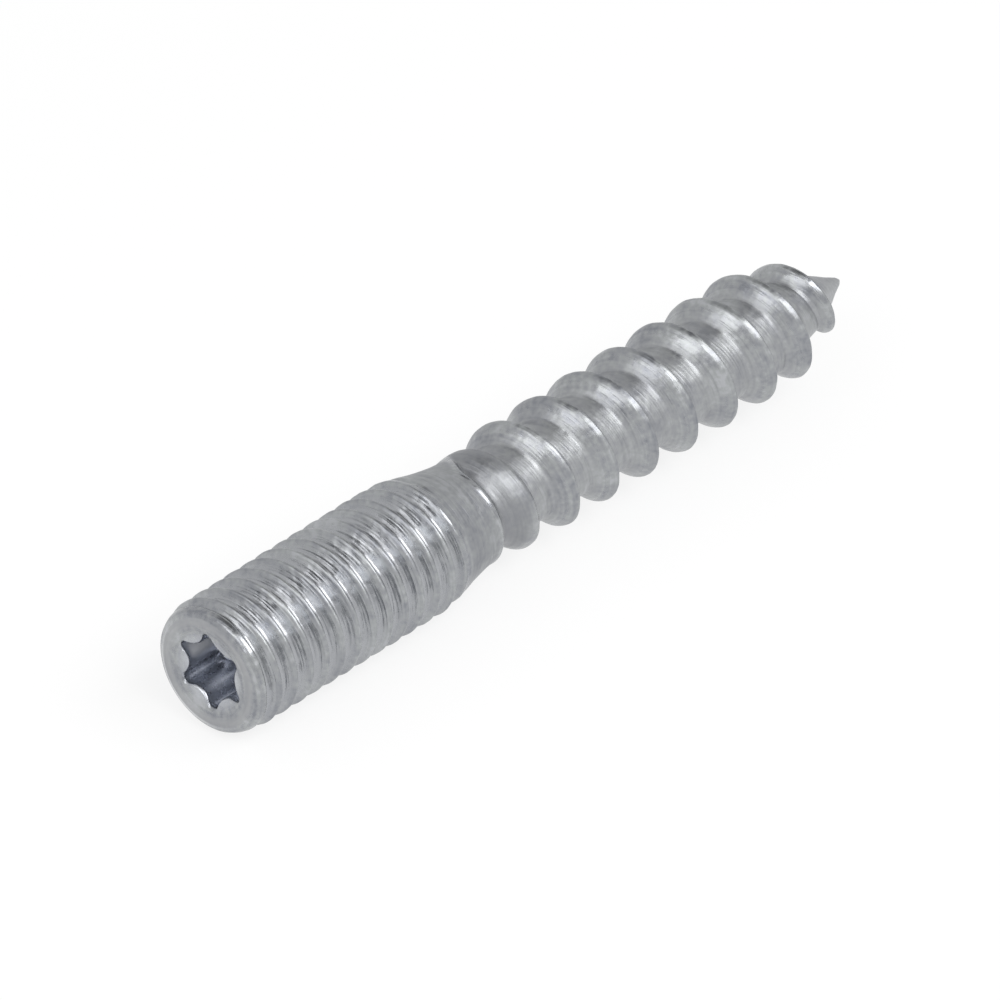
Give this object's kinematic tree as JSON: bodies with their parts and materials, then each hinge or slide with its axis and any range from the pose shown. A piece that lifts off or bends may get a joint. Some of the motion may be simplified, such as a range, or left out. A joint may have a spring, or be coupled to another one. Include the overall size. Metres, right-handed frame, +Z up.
{
  "type": "hanger bolt",
  "caption": "Double-ended steel fastener with a machine thread and a lobed drive recess at one end, and a coarse wood thread with a gimlet point at the other.",
  "frame": {"origin": "centre of the drive recess's mouth, in the plane of the flat end face", "axes": "+X along the bolt's axis from the flat end to the gimlet point, +Z up with the bolt lying on its side"},
  "size_m": [0.05, 0.0078, 0.0078],
  "materials": {
    "zinc_plated_steel": "bright zinc plating over rolled threads, slightly mottled, with a cool grey tint"
  },
  "bodies": {
    "root": {"hanger_bolt": "zinc_plated_steel"}
  },
  "joints": []
}
